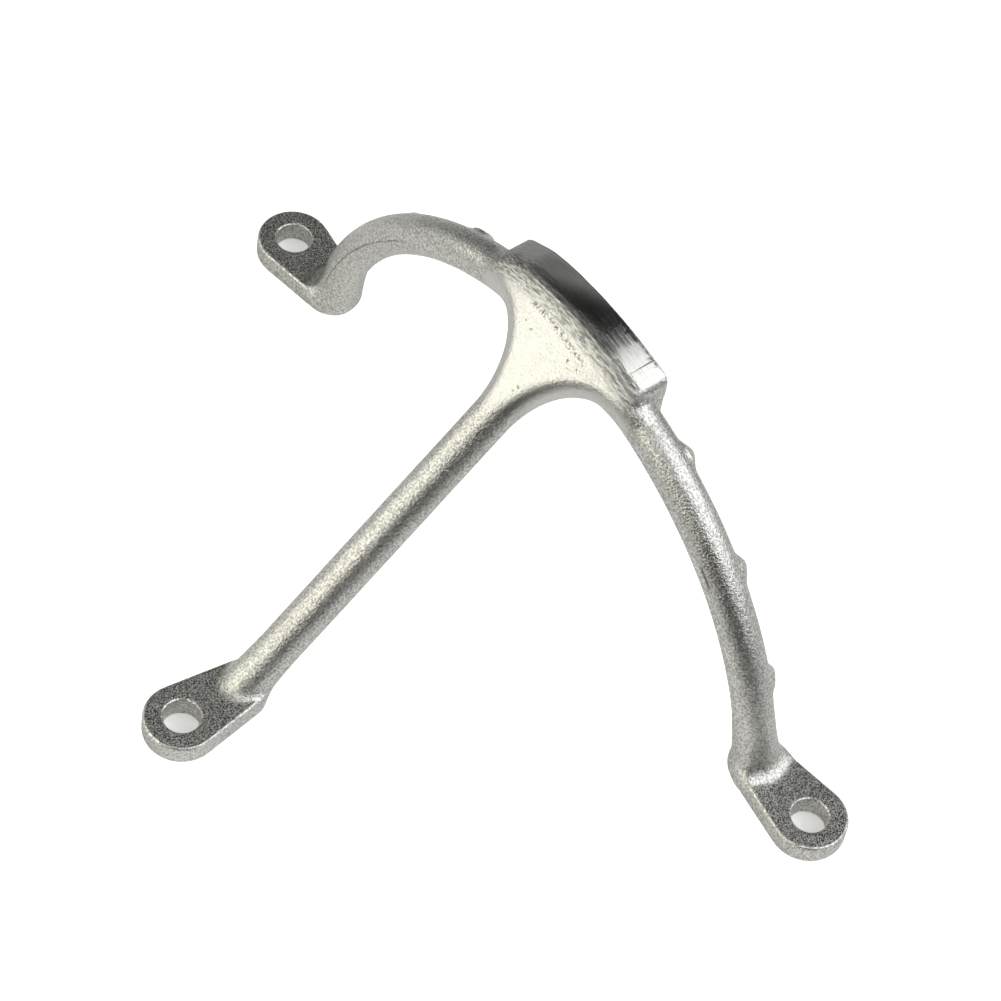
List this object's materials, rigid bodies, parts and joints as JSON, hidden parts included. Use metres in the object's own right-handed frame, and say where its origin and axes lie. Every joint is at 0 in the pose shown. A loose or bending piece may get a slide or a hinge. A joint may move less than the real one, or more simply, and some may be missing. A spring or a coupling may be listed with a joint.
{
  "type": "mast step bracket",
  "caption": "Cast mast step: a round arch tread on bolt pads, braced by a sloping strut to a lower pad, with a raised toe stop at the crown and low grip nubs.",
  "frame": {"origin": "midway between the upper holes, on the mounting plane that the undersides of the pads lie in", "axes": "+X along the upper hole line, +Y up the mast, +Z away from the mast, out of the mounting plane"},
  "size_m": [0.1634, 0.0907, 0.063],
  "materials": {
    "cast_steel": "bright tumbled casting, ground flat on the toe stop"
  },
  "bodies": {
    "root": {"step_casting": "cast_steel"}
  },
  "joints": []
}
